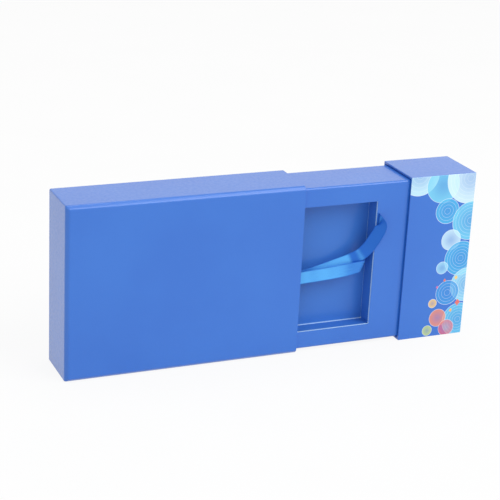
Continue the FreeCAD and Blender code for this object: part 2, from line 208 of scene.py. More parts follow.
class Nodes:
    """A node tree that is filled from Python, and the node that it ends in."""

    def __init__(self, tree, end):
        self.tree = tree
        self.tree.nodes.clear()
        self.end = self.tree.nodes.new(end)

    def add(self, kind, settings=None, inputs=None, output=0):
        """Adds a node, sets it, then fills its sockets, each named by its number or its identifier."""
        node = self.tree.nodes.new(kind)
        for key, setting in (settings or {}).items():
            setattr(node, key, setting)
        for key, given in (inputs or {}).items():
            socket = find_socket(node.inputs, key)
            if isinstance(given, Wire):
                self.tree.links.new(given.socket, socket)
            else:
                socket.default_value = given
        return Wire(self, find_socket(node.outputs, output))

    def finish(self, wire):
        """Links the wire to the first socket of the tree's end."""
        self.tree.links.new(wire.socket, self.end.inputs[0])

    # Everyday nodes by name.
    def calculate(self, operation, *numbers):
        return self.add("ShaderNodeMath", {"operation": operation}, dict(enumerate(numbers)))

    def place(self):
        return self.add("ShaderNodeTexCoord", output="Object")

    def axis(self, vector, letter):
        return self.add("ShaderNodeSeparateXYZ", {}, {0: vector}, letter)

    def stretch(self, vector, scale):
        return self.add("ShaderNodeVectorMath", {"operation": "MULTIPLY"}, {0: vector, 1: scale})

    def noise(self, vector, scale, detail=2.0, roughness=0.5):
        return self.add(
            "ShaderNodeTexNoise",
            {},
            {"Vector": vector, "Scale": scale, "Detail": detail, "Roughness": roughness},
        )

    def fade(self, wire, start, end, low=0.0, high=1.0):
        """Goes smoothly from low to high as wire goes from start to end."""
        return self.add(
            "ShaderNodeMapRange",
            {"interpolation_type": "SMOOTHSTEP"},
            {0: wire, 1: start, 2: end, 3: low, 4: high},
        )

    def mix(self, share, first, second):
        """Goes from the first colour to the second as share goes from 0 to 1."""
        return self.add(
            "ShaderNodeMix",
            {"data_type": "RGBA", "blend_type": "MIX"},
            {"Factor_Float": share, "A_Color": first, "B_Color": second},
            "Result_Color",
        )

    def rays(self, *kinds):
        """1 for the rays of those kinds, and 0 for others."""
        seen, *others = [self.add("ShaderNodeLightPath", output=f"Is {kind} Ray") for kind in kinds]
        for other in others:
            seen = self.calculate("MAXIMUM", seen, other)
        return seen

    def bump(self, height, distance, strength=1.0, under=None):
        """Normal of that relief, over the one under it."""
        inputs = {"Height": height, "Distance": distance, "Strength": strength}
        if under is not None:
            inputs["Normal"] = under
        return self.add("ShaderNodeBump", {}, inputs)

    def principled(self, **inputs):
        """Ends the tree in a Principled shader. Its sockets are named with _ in place of each space."""
        named = {key.replace("_", " "): given for key, given in inputs.items()}
        self.finish(self.add("ShaderNodeBsdfPrincipled", {}, named))


def new_material(name):
    """An empty material, and its nodes."""
    material = bpy.data.materials.new(name)
    material.use_nodes = True
    return material, Nodes(material.node_tree, "ShaderNodeOutputMaterial")


def find_socket(sockets, key):
    if isinstance(key, int):
        return sockets[key]
    return next(socket for socket in sockets if key in (socket.identifier, socket.name))


def rgb(red, green, blue):
    """Linear colour from the 0 to 255 numbers of a swatch."""
    linear = []
    for number in (red, green, blue):
        share = number / 255
        linear.append(share / 12.92 if share <= 0.04045 else ((share + 0.055) / 1.055) ** 2.4)
    return (*linear, 1.0)


# Each swatch is a colour, a lighter one and a darker one.
COVER_BLUES = (rgb(42, 109, 204), rgb(46, 114, 208), rgb(36, 100, 195))
LINING_BLUES = (rgb(56, 116, 202), rgb(60, 120, 206), rgb(50, 108, 194))
BOARD_GREYS = (rgb(158, 154, 148), rgb(172, 168, 162), rgb(116, 112, 108))
CARD_WHITES = (rgb(190, 226, 255), rgb(204, 236, 255), rgb(164, 204, 244))
# For the satin, the lighter colour is its painted highlight, and the darker one is its threads and selvedges.
SATIN_BLUES_AND_SHEEN = (rgb(24, 90, 203), rgb(90, 176, 248), rgb(14, 70, 184))

# The film on the papers: how rough it is, and how much of it lies on the covers and on the linings. Then
# how strongly the paper under it mirrors.
FILM_ROUGHNESS = 0.2
FILM = 0.82
LINING_FILM = 0.4
PAPER_SHINE = 0.25

# The satin: its warp and weft as radians per millimetre, how the warp's long floats are stretched, and where
# its selvedges fade in, in millimetres from the middle.
THREAD_RATE = 38.0
WEFT_RATE = 24.0
FLOAT_STRETCH = (2.6, 0.10, 0.0)
SELVEDGE_BAND = (4.35, 4.6)

# How much random streaks shift the satin's painted sheen, how dark its threads and its selvedges are, how much
# rougher the selvedges are, how high threads, weft and floats stand against each other, and the tint of its
# gloss.
SHEEN_STREAKINESS = 0.6
THREAD_DARKNESS = 0.15
SELVEDGE_DARKNESS = 0.35
SELVEDGE_ROUGHNESS = 0.2
THREAD_HEIGHT = 0.5
WEFT_HEIGHT = 0.1
FLOAT_HEIGHT = 1.2
SATIN_TINT = (0.3, 0.85, 1.0, 1.0)


def paper_grain(nodes, place):
    """Normal of a covering paper: fibres under a smooth finish, over board that isn't quite flat."""
    board = nodes.noise(place, scale=26.0)
    fibres = nodes.noise(nodes.stretch(place, (1.0, 1.0, 2.2)), scale=900.0, detail=4.0, roughness=0.6)
    tooth = nodes.noise(place, scale=3800.0)
    waves = nodes.bump(board, distance=0.35 * MM, strength=0.5)
    felt = nodes.bump(fibres, distance=0.02 * MM, strength=0.5, under=waves)
    return nodes.bump(tooth, distance=0.006 * MM, strength=0.6, under=felt)


def tinted(nodes, place, swatch):
    """Dyed paper: the colour drifts a little from place to place and is speckled by its fibres."""
    colour, light, dark = swatch
    drift = nodes.noise(place, scale=14.0, detail=3.0)
    long_fibres = nodes.stretch(place, (1.0, 1.0, 2.6))
    speckle = nodes.noise(long_fibres, scale=1500.0, detail=3.0, roughness=0.65)
    broad = nodes.mix(nodes.fade(drift, 0.3, 0.7), colour, light)
    return nodes.mix(nodes.fade(speckle, 0.52, 0.8, high=0.5), broad, dark)


def under_film(nodes, place, colour, rough, film):
    """Ends the nodes in grained paper of that colour, as rough as the two numbers of rough, under a matt
    film. The number of film is how much of it there is."""
    mottle = nodes.noise(place, scale=420.0, detail=3.0)
    nodes.principled(
        Base_Color=colour,
        Roughness=nodes.fade(mottle, 0.25, 0.75, *rough),
        Normal=paper_grain(nodes, place),
        Coat_Weight=film,
        Coat_Roughness=FILM_ROUGHNESS,
        Specular_IOR_Level=PAPER_SHINE,
    )


def covering_paper(name, swatch, rough, film):
    material, nodes = new_material(name)
    place = nodes.place()
    under_film(nodes, place, tinted(nodes, place, swatch), rough, film)
    return material


def raw_board(name, swatch, ply):
    """Uncovered board: pulp fibres, specks and faint plies, as thick as ply, where it is cut."""
    colour, light, dark = swatch
    material, nodes = new_material(name)
    place = nodes.place()
    pulp = nodes.noise(nodes.stretch(place, (1.0, 1.0, 3.0)), scale=650.0, detail=5.0, roughness=0.7)
    specks = nodes.noise(place, scale=2100.0, detail=1.0)
    plies = nodes.noise(nodes.stretch(place, (40.0, 1.0 / ply, 40.0)), scale=1.0)
    shade = nodes.mix(nodes.fade(pulp, 0.3, 0.72), colour, light)
    shade = nodes.mix(nodes.fade(specks, 0.66, 0.74, high=0.7), shade, dark)
    felt = nodes.bump(pulp, distance=0.05 * MM, strength=0.6)
    nodes.principled(
        Base_Color=shade,
        Roughness=nodes.fade(pulp, 0.2, 0.8, low=0.78, high=0.92),
        Normal=nodes.bump(plies, distance=0.04 * MM, strength=0.4, under=felt),
    )
    return material


def satin(name, swatch):
    """Woven satin: warp threads lie along the ribbon, and the weft shows as faint bars across it. Its vertex
    attribute holds millimetres across and along, and the painted sheen there: highlight and shade painted along
    it."""
    colour, light, dark = swatch
    material, nodes = new_material(name)
    weave_and_sheen = nodes.add("ShaderNodeAttribute", {"attribute_name": "weave_and_sheen"}, output="Vector")
    across, along, painted_sheen = [nodes.axis(weave_and_sheen, letter) for letter in "XYZ"]
    floats = nodes.noise(nodes.stretch(weave_and_sheen, FLOAT_STRETCH), scale=1.0, detail=4.0, roughness=0.7)
    threads = nodes.calculate("SINE", across * THREAD_RATE)
    weft = nodes.calculate("SINE", along * WEFT_RATE)
    # Painted sheen: the painted highlight and shade bands, shifted a little by random streaks, move the colour
    # towards the lighter one.
    pale = nodes.fade(painted_sheen + (floats - 0.5) * SHEEN_STREAKINESS, 0.0, 1.0)
    shade = nodes.mix(pale, colour, light)
    shade = nodes.mix(nodes.fade(threads, 0.2, 1.0, high=THREAD_DARKNESS), shade, dark)
    selvedge = nodes.fade(nodes.calculate("ABSOLUTE", across), *SELVEDGE_BAND)
    shade = nodes.mix(selvedge * SELVEDGE_DARKNESS, shade, dark)
    rough = nodes.fade(floats, 0.3, 0.75, low=0.28, high=0.36)
    height = threads * THREAD_HEIGHT + weft * WEFT_HEIGHT + floats * FLOAT_HEIGHT
    nodes.principled(
        Base_Color=shade,
        Roughness=rough + selvedge * SELVEDGE_ROUGHNESS,
        Normal=nodes.bump(height, distance=0.02 * MM),
        Specular_IOR_Level=1.0,
        Specular_Tint=SATIN_TINT,
    )
    return material


# Discs of the cap's print: centre (across, up) as shares of the cap's length and height, and radius as a
# share of its length, then the tint, how much it covers and how many fine rings lie inside it.
DISCS = [
    ((0.13, 1.01), 0.29, rgb(200, 240, 250), 0.90, 4),
    ((0.50, 0.94), 0.25, rgb(122, 212, 241), 0.85, 0),
    ((0.92, 0.97), 0.36, rgb(216, 245, 252), 0.90, 6),
    ((0.60, 0.78), 0.18, rgb(70, 184, 234), 0.80, 3),
    ((0.98, 0.71), 0.28, rgb(112, 208, 241), 0.85, 5),
    ((0.70, 0.60), 0.15, rgb(208, 241, 251), 0.78, 0),
    ((0.88, 0.48), 0.25, rgb(66, 178, 232), 0.88, 5),
    ((0.60, 0.43), 0.09, rgb(170, 228, 247), 0.75, 0),
    ((1.01, 0.31), 0.25, rgb(158, 226, 247), 0.88, 5),
    ((0.72, 0.27), 0.18, rgb(52, 152, 224), 0.85, 3),
    ((0.93, 0.09), 0.25, rgb(98, 200, 238), 0.90, 5),
    ((0.60, 0.115), 0.13, rgb(244, 142, 82), 0.78, 0),
    ((0.75, 0.045), 0.12, rgb(234, 96, 92), 0.70, 0),
    ((0.50, 0.21), 0.065, rgb(250, 204, 104), 0.85, 0),
    ((0.45, 0.04), 0.075, rgb(206, 222, 118), 0.80, 0),
]

# Small warm diamonds: centre, half height as a share of the cap's height, and colour.
DIAMONDS = [
    ((0.84, 0.36), 0.015, rgb(250, 206, 110)),
    ((0.66, 0.35), 0.011, rgb(240, 120, 70)),
    ((0.90, 0.20), 0.022, rgb(238, 110, 84)),
    ((0.80, 0.155), 0.013, rgb(248, 186, 92)),
    ((0.55, 0.31), 0.010, rgb(226, 110, 150)),
]

# Half the width of the discs' white rims and of their fine rings, how soft the print's edges are, how far
# the print wraps round the front's folds, and the share of that which it covers in full.
RING_LINE = 0.2 * MM
FINE_RING_LINE = 0.13 * MM
PRINT_EDGE = 0.06 * MM
PRINT_WRAP = 0.22 * MM
WRAP_FADE = 0.8

# The print's white, how much rims, fine rings and diamonds cover, how much of its cover a disc has at its
# centre and where the print is thinnest, and how many times as tall as wide a diamond is.
PRINT_WHITE = rgb(244, 252, 255)
RIM_COVER = 0.5
FINE_RING_COVER = 0.4
DIAMOND_COVER = 0.92
CENTRE_COVER = 0.6
THIN_COVER = 0.92
DIAMOND_TALLNESS = 1.3


def printed(nodes, measure, limit, cover=1.0):
    """How much a printed shape covers: all its cover where measure is below the limit, with a soft edge."""
    return nodes.fade(measure, limit + PRINT_EDGE, limit - PRINT_EDGE, high=cover)


def printed_front(nodes, place, ground):
    """The cap's print on its ground colour: overlapping clear discs with white rims and fine rings, and
    diamonds."""
    x, z = nodes.axis(place, "X"), nodes.axis(place, "Z")
    length = CAP_HIGH.x - CAP_LOW.x
    height = CAP_HIGH.z - CAP_LOW.z
    tone = nodes.noise(place, scale=60.0, detail=3.0)
    blotches = nodes.fade(tone, 0.2, 0.8, low=THIN_COVER)
    picture = ground
    for (across, up), radius, tint, cover, rings in DISCS:
        right = x - (CAP_LOW.x + across * length)
        rise = z - (CAP_LOW.z + up * height)
        distance = (right * right + rise * rise) ** 0.5
        rim = radius * length
        inside = printed(nodes, distance, rim)
        fall = nodes.fade(distance, 0.0, rim, cover * CENTRE_COVER, cover)
        picture = nodes.mix(inside * fall * blotches, picture, tint)
        from_rim = nodes.calculate("ABSOLUTE", distance - rim)
        picture = nodes.mix(printed(nodes, from_rim, RING_LINE, RIM_COVER), picture, PRINT_WHITE)
        if rings:
            from_ring = nodes.calculate("PINGPONG", distance, rim / (rings + 1) / 2)
            fine = printed(nodes, from_ring, FINE_RING_LINE, FINE_RING_COVER)
            picture = nodes.mix(fine * inside, picture, PRINT_WHITE)
    for (across, up), half, tint in DIAMONDS:
        beside = nodes.calculate("ABSOLUTE", x - (CAP_LOW.x + across * length))
        above = nodes.calculate("ABSOLUTE", z - (CAP_LOW.z + up * height))
        inside = printed(nodes, beside * DIAMOND_TALLNESS + above, half * height, DIAMOND_COVER)
        picture = nodes.mix(inside, picture, tint)
    return picture


def printed_paper(name, swatch, rough, film):
    """Covering paper with the print on the face that looks to the front."""
    material, nodes = new_material(name)
    place = nodes.place()
    ground = tinted(nodes, place, swatch)
    depth = nodes.axis(place, "Y")
    front = nodes.fade(depth, CAP_LOW.y + PRINT_WRAP, CAP_LOW.y + WRAP_FADE * PRINT_WRAP)
    picture = nodes.mix(front, ground, printed_front(nodes, place, ground))
    under_film(nodes, place, picture, rough, film)
    return material


def studio_floor(name):
    """Pale floor: the camera and reflections see part of its white as plain colour, and the rest keeps the
    object's shadow."""
    material, nodes = new_material(name)
    mottle = nodes.noise(nodes.place(), scale=9.0, detail=3.0)
    tone = nodes.mix(nodes.fade(mottle, 0.3, 0.7), *FLOOR_TONES)
    matt = nodes.add("ShaderNodeBsdfDiffuse", {}, {"Color": tone})
    glow = nodes.add("ShaderNodeEmission", {}, {"Color": WHITE, "Strength": 1.0})
    own_light = nodes.rays("Camera", "Glossy") * FLOOR_OWN_LIGHT
    nodes.finish(nodes.add("ShaderNodeMixShader", {}, {0: own_light, 1: matt, 2: glow}))
    return material


# ------------------------------------------------------------------- meshes


def linked(name, data):
    """A new object in the scene, made from the data."""
    made = bpy.data.objects.new(name, data)
    bpy.context.scene.collection.objects.link(made)
    return made


def new_piece(name, mesh, material):
    mesh.materials.append(material)
    return linked(name, mesh)


def mesh_from(name, shape):
    """The mesh that the bmesh holds. The bmesh is used up."""
    mesh = bpy.data.meshes.new(name)
    shape.to_mesh(mesh)
    shape.free()
    return mesh


def settle(piece):
    """Turns the piece and its modifiers into a plain mesh."""
    evaluated = piece.evaluated_get(bpy.context.evaluated_depsgraph_get())
    mesh = bpy.data.meshes.new_from_object(evaluated)
    piece.modifiers.clear()
    piece.data = mesh
    return piece


def thicken(sheet, even=False):
    """Gives a sheet of paper its thickness, on its inner side. Where even is true, corners keep it too."""
    paper = sheet.modifiers.new("paper", "SOLIDIFY")
    paper.thickness = PAPER
    paper.offset = -1.0
    paper.use_even_offset = even
    return settle(sheet)


def smooth_folds(piece):
    """Shades flat panels flat and their folds round, and keeps cut edges sharp."""
    piece.data.shade_smooth()
    piece.data.set_sharp_from_angle(angle=SHARP_ANGLE)
    weights = piece.modifiers.new("flat panels", "WEIGHTED_NORMAL")
    weights.weight = PANEL_WEIGHT
    weights.keep_sharp = True
    return settle(piece)


def fold(shape, how, chosen=None):
    """Rounds the creases of the mesh, or only those that chosen picks. how is the rounding and its steps."""
    rounding, steps = how
    shape.normal_update()
    paired = [edge for edge in shape.edges if len(edge.link_faces) == 2]
    creases = [edge for edge in paired if edge.calc_face_angle() > CREASE_ANGLE]
    if chosen:
        creases = [edge for edge in creases if chosen(edge)]
    bmesh.ops.bevel(
        shape,
        geom=creases,
        offset=rounding,
        offset_type="OFFSET",
        segments=steps,
        profile=0.5,
        affect="EDGES",
        clamp_overlap=True,
    )


def join(shape, loops):
    """Makes the faces between each loop of corners and the next."""
    for near, far in zip(loops, loops[1:]):
        for i, corner in enumerate(near):
            j = (i + 1) % len(near)
            shape.faces.new((corner, near[j], far[j], far[i]))


def sheath(name, rings, how, material, chosen=None):
    """Sheet of paper through rings of corners, closed over the first and open at the last, with its folds
    rounded and its thickness inside. Where chosen picks some folds, the rest are tight ones."""
    shape = bmesh.new()
    loops = [[shape.verts.new(corner) for corner in ring] for ring in rings]
    shape.faces.new(loops[0])
    join(shape, loops)
    bmesh.ops.remove_doubles(shape, verts=shape.verts, dist=WELD)
    bmesh.ops.recalc_face_normals(shape, faces=shape.faces)
    closed_end = max(shape.faces, key=lambda face: abs(face.normal.x) * face.calc_area())
    if closed_end.normal.x * (rings[0][0][0] - rings[1][0][0]) < 0:
        bmesh.ops.reverse_faces(shape, faces=shape.faces)
    if chosen:
        fold(shape, how, chosen)
    fold(shape, TIGHT_FOLD if chosen else how)
    return thicken(new_piece(name, mesh_from(name, shape), material), even=True)


def block(low, high):
    """A bmesh block from low to high."""
    shape = bmesh.new()
    bmesh.ops.create_cube(shape, size=1.0)
    middle = (Vector(low) + Vector(high)) / 2
    span = Vector(high) - Vector(low)
    for vertex in shape.verts:
        vertex.co = middle + Vector(size * share for size, share in zip(span, vertex.co))
    return shape


def slab(name, low, high, how, material, chosen=None):
    """Board or strip with its arrises rounded, or only those that chosen picks."""
    shape = block(low, high)
    fold(shape, how, chosen)
    return new_piece(name, mesh_from(name, shape), material)


def strip(name, low, high, material):
    """Strip of paper over the underside of the sleeve or the cap."""
    return smooth_folds(slab(name, low, high, STRIP_EDGE, material))


def pierce(piece, near, far):
    """Cuts the window and the ribbon's slit through the piece, from near to far in y."""
    for left, bottom, right, top in (WINDOW, SLIT):
        hole = block((left, near - CUT_BEYOND, bottom), (right, far + CUT_BEYOND, top))
        cutter = linked("cutter", mesh_from("cutter", hole))
        cut = piece.modifiers.new("hole", "BOOLEAN")
        cut.operation = "DIFFERENCE"
        cut.solver = "EXACT"
        cut.object = cutter
        settle(piece)
        bpy.data.objects.remove(cutter)


def square(x, low, high):
    """Ring of four corners at x, from low to high in y and z."""
    return [(x, low[0], low[1]), (x, high[0], low[1]), (x, high[0], high[1]), (x, low[0], high[1])]


def section(x, low, high, corner=0.0):
    """Ring of eight corners at x, from low to high in y and z, with the box's own four cut off by corner."""
    y0, y1 = low[0], high[0]
    z0, z1 = low[1], high[1]
    return [
        (x, y0 + corner, z0),
        (x, y1 - corner, z0),
        (x, y1, z0 + corner),
        (x, y1, z1 - corner),
        (x, y1 - corner, z1),
        (x, y0 + corner, z1),
        (x, y0, z1 - corner),
        (x, y0, z0 + corner),
    ]


def arrises_of(*direction):
    """Picks the arrises of the face that looks in the direction."""
    outward = Vector(direction)
    return lambda edge: any(face.normal.dot(outward) > SAME_WAY for face in edge.link_faces)


def ends_on(edge, low, high=()):
    """How many ends of the edge lie on a side of the box from low to high. None leaves a side out."""
    count = 0
    for end in edge.verts:
        sides = [*zip(end.co, low), *zip(end.co, high)]
        count += any(side is not None and abs(along - side) < TOUCH for along, side in sides)
    return count


def make_boards(shell, low_in, high_in, board):
    """Greyboard panels under a shell's folded paper, drawn in from the folds at their low and high sides."""
    for side in ("front", "back", "top", "bottom", "end"):
        node = f"{shell}_{side}_board"
        low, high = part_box(node)
        thin = min(range(3), key=lambda axis: high[axis] - low[axis])
        for axis in range(3):
            if axis != thin:
                low[axis] += low_in[axis]
                high[axis] -= high_in[axis]
        panel = smooth_folds(slab(f"{shell}_{side}_panel", low, high, PANEL_ARRIS, board))
        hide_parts(node)
        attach(panel, "sleeve" if shell == "sleeve" else "drawer")


# ------------------------------------------------------------------- sleeve


def make_sleeve(paper, lining, board):
    bottom = SLEEVE_LOW.z + STRIP
    low = (SLEEVE_LOW.y, bottom)
    high = (SLEEVE_HIGH.y, SLEEVE_HIGH.z)
    end_low = (SLEEVE_LOW.y + SLEEVE_BEVEL, bottom)
    end_high = (SLEEVE_HIGH.y - SLEEVE_BEVEL, SLEEVE_HIGH.z)
    bore_low = (SLEEVE_LOW.y + SLEEVE_WALL, SLEEVE_LOW.z + SLEEVE_WALL)
    bore_high = (SLEEVE_HIGH.y - SLEEVE_WALL, SLEEVE_HIGH.z - SLEEVE_WALL)
    mouth = SLEEVE_HIGH.x
    turned_in = mouth - MOUTH_TURN_IN
    rings = [
        section(SLEEVE_LOW.x, end_low, end_high),
        section(SLEEVE_LOW.x + SLEEVE_BEVEL, low, high, SLEEVE_BEVEL),
        section(mouth, low, high, SLEEVE_BEVEL),
        section(mouth, bore_low, bore_high, BORE_CORNER),
        section(turned_in, bore_low, bore_high, BORE_CORNER),
    ]

    def outer(edge):
        on_outside = ends_on(edge, (SLEEVE_LOW.x, *low), (None, *high)) == 2
        return on_outside and ends_on(edge, (mouth,)) < 2

    cover = smooth_folds(sheath("sleeve_cover", rings, SLEEVE_FOLD, paper, outer))
    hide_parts("sleeve_wrap")

    base = strip(
        "sleeve_base_strip",
        (SLEEVE_LOW.x + SLEEVE_STRIP_END, SLEEVE_LOW.y + SLEEVE_BEVEL + STRIP_MARGIN, SLEEVE_LOW.z),
        (mouth - STRIP_MARGIN, SLEEVE_HIGH.y - SLEEVE_BEVEL - STRIP_MARGIN, bottom),
        paper,
    )
    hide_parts("sleeve_base_paper")

    gap = SLEEVE_LINING_GAP
    inside_low = (LINING_LOW.y + gap, LINING_LOW.z + gap)
    inside_high = (LINING_HIGH.y - gap, LINING_HIGH.z - gap)
    ends = (LINING_LOW.x + gap, turned_in - LINING_STOP)
    lining_rings = [section(x, inside_low, inside_high, BORE_CORNER) for x in ends]
    inner = smooth_folds(sheath("sleeve_inner_paper", lining_rings, SLEEVE_LINING_FOLD, lining))
    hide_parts("sleeve_lining")

    room = SLEEVE_FOLD_ROOM
    make_boards("sleeve", (room, room, room), (0.0, room, room), board)
    for piece in (cover, base, inner):
        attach(piece, "sleeve")


# ------------------------------------------------------------------- drawer


def make_tray(paper, card, board):
    low = (TRAY_LOW.y, TRAY_LOW.z)
    high = (TRAY_BACK, TRAY_HIGH.z)
    rings = [square(x, low, high) for x in (TRAY_LOW.x, TRAY_HIGH.x - TRAY_STOP)]
    cover = sheath("tray_cover", rings, TRAY_FOLD, paper)
    pierce(cover, TRAY_LOW.y, TRAY_LOW.y)
    smooth_folds(cover)
    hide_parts("tray_wrap", "platform_paper")

    plate_low, plate_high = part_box("platform_board")
    plate = slab("platform_plate", plate_low, plate_high, PLATE_ARRIS, card, arrises_of(0, -1, 0))
    pierce(plate, plate_low.y, plate_high.y)
    smooth_folds(plate)
    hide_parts("platform_board")

    back_low, back_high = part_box("tray_back_board")
    back = slab("tray_back_plate", back_low, back_high, PLATE_ARRIS, board, arrises_of(0, 1, 0))
    smooth_folds(back)
    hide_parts("tray_back_board")

    for piece in (cover, plate, back):
        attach(piece, "drawer")


def make_well_lining(lining):
    """Lining paper round the well's walls. It stops short of the floor, so the card shows there, least on the
    right wall."""
    gap = WELL_LINING_GAP
    left, right = WELL_LOW.x + gap, WELL_HIGH.x - gap
    bottom, top = WELL_LOW.z + gap, WELL_HIGH.z - gap
    corners = [(left, bottom), (right, bottom), (right, top), (left, top)]
    deep = WELL_HIGH.y - LINING_CUT_BACK
    right_deep = deep + RIGHT_WALL_MORE
    deeps = [deep - LEFT_FOOT_CUT, deep - RIGHT_FOOT_CUT, right_deep, deep]
    shape = bmesh.new()
    inner = [shape.verts.new((x, y, z)) for (x, z), y in zip(corners, deeps)]
    outer = [shape.verts.new((x, WELL_LOW.y, z)) for x, z in corners]
    rise = shape.verts.new((right, right_deep, bottom + RIGHT_WALL_RISE))
    for i, corner in enumerate(inner):
        j = (i + 1) % len(inner)
        between = (rise,) if i == 1 else ()
        shape.faces.new((corner, *between, inner[j], outer[j], outer[i]))
    bmesh.ops.recalc_face_normals(shape, faces=shape.faces)
    fold(shape, WELL_LINING_FOLD)
    piece = smooth_folds(thicken(new_piece("well_lining", mesh_from("well_lining", shape), lining)))
    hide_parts("recess_lining")
    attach(piece, "drawer")


def make_cap(print_paper, paper, board):
    bottom = CAP_LOW.z + STRIP
    outer = ((CAP_LOW.y, bottom), (CAP_HIGH.y, CAP_HIGH.z))
    inner = ((CAP_LOW.y + CAP_RIM, CAP_LOW.z + CAP_RIM), (CAP_HIGH.y - CAP_RIM, CAP_HIGH.z - CAP_RIM))
    rings = [
        square(CAP_HIGH.x, *outer),
        square(CAP_LOW.x, *outer),
        square(CAP_LOW.x, *inner),
        square(CAP_LOW.x + CAP_TURN_IN, *inner),
    ]

    def inner_rim(edge):
        at_rim = ends_on(edge, (CAP_LOW.x,)) == 2
        return at_rim and not ends_on(edge, (None, *outer[0]), (None, *outer[1]))

    cover = smooth_folds(sheath("cap_cover", rings, CAP_RIM_FOLD, print_paper, inner_rim))
    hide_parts("cap_wrap")
    base = strip(
        "cap_base_strip",
        (CAP_LOW.x + CAP_STRIP_END, CAP_LOW.y + STRIP_MARGIN, CAP_LOW.z),
        (CAP_HIGH.x - CAP_STRIP_END, CAP_HIGH.y - STRIP_MARGIN, bottom),
        paper,
    )
    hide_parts("cap_base_paper")

    room = CAP_FOLD_ROOM
    make_boards("cap", (CAP_RIM_ROOM, room, room), (room, room, room), board)
    for piece in (cover, base):
        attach(piece, "drawer")


# ------------------------------------------------------------------- ribbon

# The ribbon's route in millimetres from the slit's centre in the platform's face: the middle of the ribbon,
# then the way that its width points there.
ROUTE = [
    ((14.0, 1.92, 0.0), (0.0, 0.0, 1.0)),
    ((1.2, 1.92, 0.0), (0.0, 0.0, 1.0)),
    ((0.1, 1.85, 0.0), (0.0, 0.0, 1.0)),
    ((0.0, 1.4, 0.0), (0.0, 0.0, 1.0)),
    ((0.0, 0.0, 0.0), (0.0, 0.0, 1.0)),
    ((0.0, -2.9, -0.5), (0.0, -0.34, 0.94)),
    ((0.0, -4.5, -2.0), (0.6, -0.69, 0.42)),
    ((0.1, -4.3, -5.9), (0.79, -0.62, 0.04)),
    ((-1.1, -3.2, -10.1), (0.77, -0.63, -0.1)),
    ((-2.7, -1.8, -14.3), (0.74, -0.55, -0.39)),
    ((-5.5, 0.8, -21.8), (0.68, -0.37, -0.64)),
    ((-8.9, 3.0, -27.3), (0.58, -0.30, -0.76)),
    ((-13.2, 5.1, -31.6), (0.48, -0.22, -0.86)),
    ((-20.3, 6.7, -35.0), (0.34, -0.26, -0.91)),
    ((-30.9, 8.0, -38.5), (0.28, -0.3, -0.91)),
    ((-43.4, 9.0, -42.3), (0.28, -0.28, -0.92)),
    ((-57.0, 9.7, -45.6), (0.2, -0.2, -0.96)),
    ((-71.0, 9.8, -48.0), (0.12, -0.1, -0.99)),
    ((-86.0, 9.6, -49.3), (0.05, 0.0, -1.0)),
    ((-93.0, 8.9, -49.4), (0.0, 0.0, -1.0)),
    ((-95.6, 7.2, -49.2), (0.0, 0.0, -1.0)),
    ((-93.4, 5.5, -48.9), (0.0, 0.0, -1.0)),
    ((-87.0, 4.7, -48.2), (0.06, 0.0, -1.0)),
    ((-75.0, 4.7, -46.6), (0.08, 0.0, -1.0)),
    ((-62.3, 4.9, -45.0), (0.07, -0.03, -1.0)),
    ((-49.0, 4.4, -44.1), (0.08, -0.08, -1.0)),
    ((-34.4, 3.7, -43.0), (0.1, -0.1, -0.99)),
    ((-19.6, 3.2, -41.2), (0.08, -0.1, -0.99)),
    ((-9.7, 2.7, -39.6), (-0.36, 0.05, -0.94)),
]

# Half the ribbon's width, how far its middle stands up, and its section: each place across it, from -1 to 1,
# and half the thickness there.
RIBBON_HALF = 5.0 * MM
RIBBON_CROWN = 0.14 * MM
RIBBON_PROFILE = [
    (-1.0, 0.09 * MM),
    (-0.93, 0.15 * MM),
    (-0.86, 0.10 * MM),
    (-0.5, 0.11 * MM),
    (0.0, 0.12 * MM),
    (0.5, 0.11 * MM),
    (0.86, 0.10 * MM),
    (0.93, 0.15 * MM),
    (1.0, 0.09 * MM),
]

# The thread in each selvedge: its radius and how many sides it has.
THREAD_RADIUS = 0.16 * MM
THREAD_SIDES = 6

# Painted sheen at each millimetre along the ribbon, from 0 to 1: a painted highlight where its threads run
# level, a painted glint near the slit, and a painted pale and dark band at a crease.
PAINTED_SHEEN_BANDS = [
    (0.0, 0.0),
    (16.2, 0.0),
    (18.0, 0.8),
    (19.8, 0.0),
    (49.5, 0.0),
    (53.3, 0.55),
    (57.0, 0.0),
    (60.5, 0.15),
    (63.5, 0.88),
    (69.0, 1.0),
    (78.5, 0.87),
    (86.5, 0.8),
    (93.5, 0.62),
    (98.5, 0.42),
    (106.0, 0.3),
    (140.0, 0.3),
    (165.0, 0.7),
    (178.0, 0.98),
    (183.0, 0.75),
    (188.0, 0.82),
    (194.0, 1.0),
    (199.7, 0.78),
    (204.7, 0.78),
    (210.5, 0.64),
    (216.0, 0.4),
    (240.0, 0.3),
]

# The curves that the ribbon's edges follow: their steps from point to point, and their order.
LINE_STEPS = 6
LINE_ORDER = 3


def painted_sheen_at(along):
    """The painted sheen at a place along the satin."""
    for (near, low), (far, high) in zip(PAINTED_SHEEN_BANDS, PAINTED_SHEEN_BANDS[1:]):
        if along <= far:
            return low + (high - low) * (along - near) / (far - near)
    return PAINTED_SHEEN_BANDS[-1][1]


def smooth_line(points):
    """Points along the NURBS line that the given points steer."""
    curve = bpy.data.curves.new("guide", "CURVE")
    curve.dimensions = "3D"
    curve.resolution_u = LINE_STEPS
    spline = curve.splines.new("NURBS")
    spline.points.add(len(points) - 1)
    for knot, point in zip(spline.points, points):
        knot.co = (*point, 1.0)
    spline.order_u = LINE_ORDER
    spline.use_endpoint_u = True
    guide = linked("guide", curve)
    bpy.context.view_layer.update()
    mesh = bpy.data.meshes.new_from_object(guide)
    line = [vertex.co.copy() for vertex in mesh.vertices]
    bpy.data.objects.remove(guide)
    bpy.data.meshes.remove(mesh)
    return line


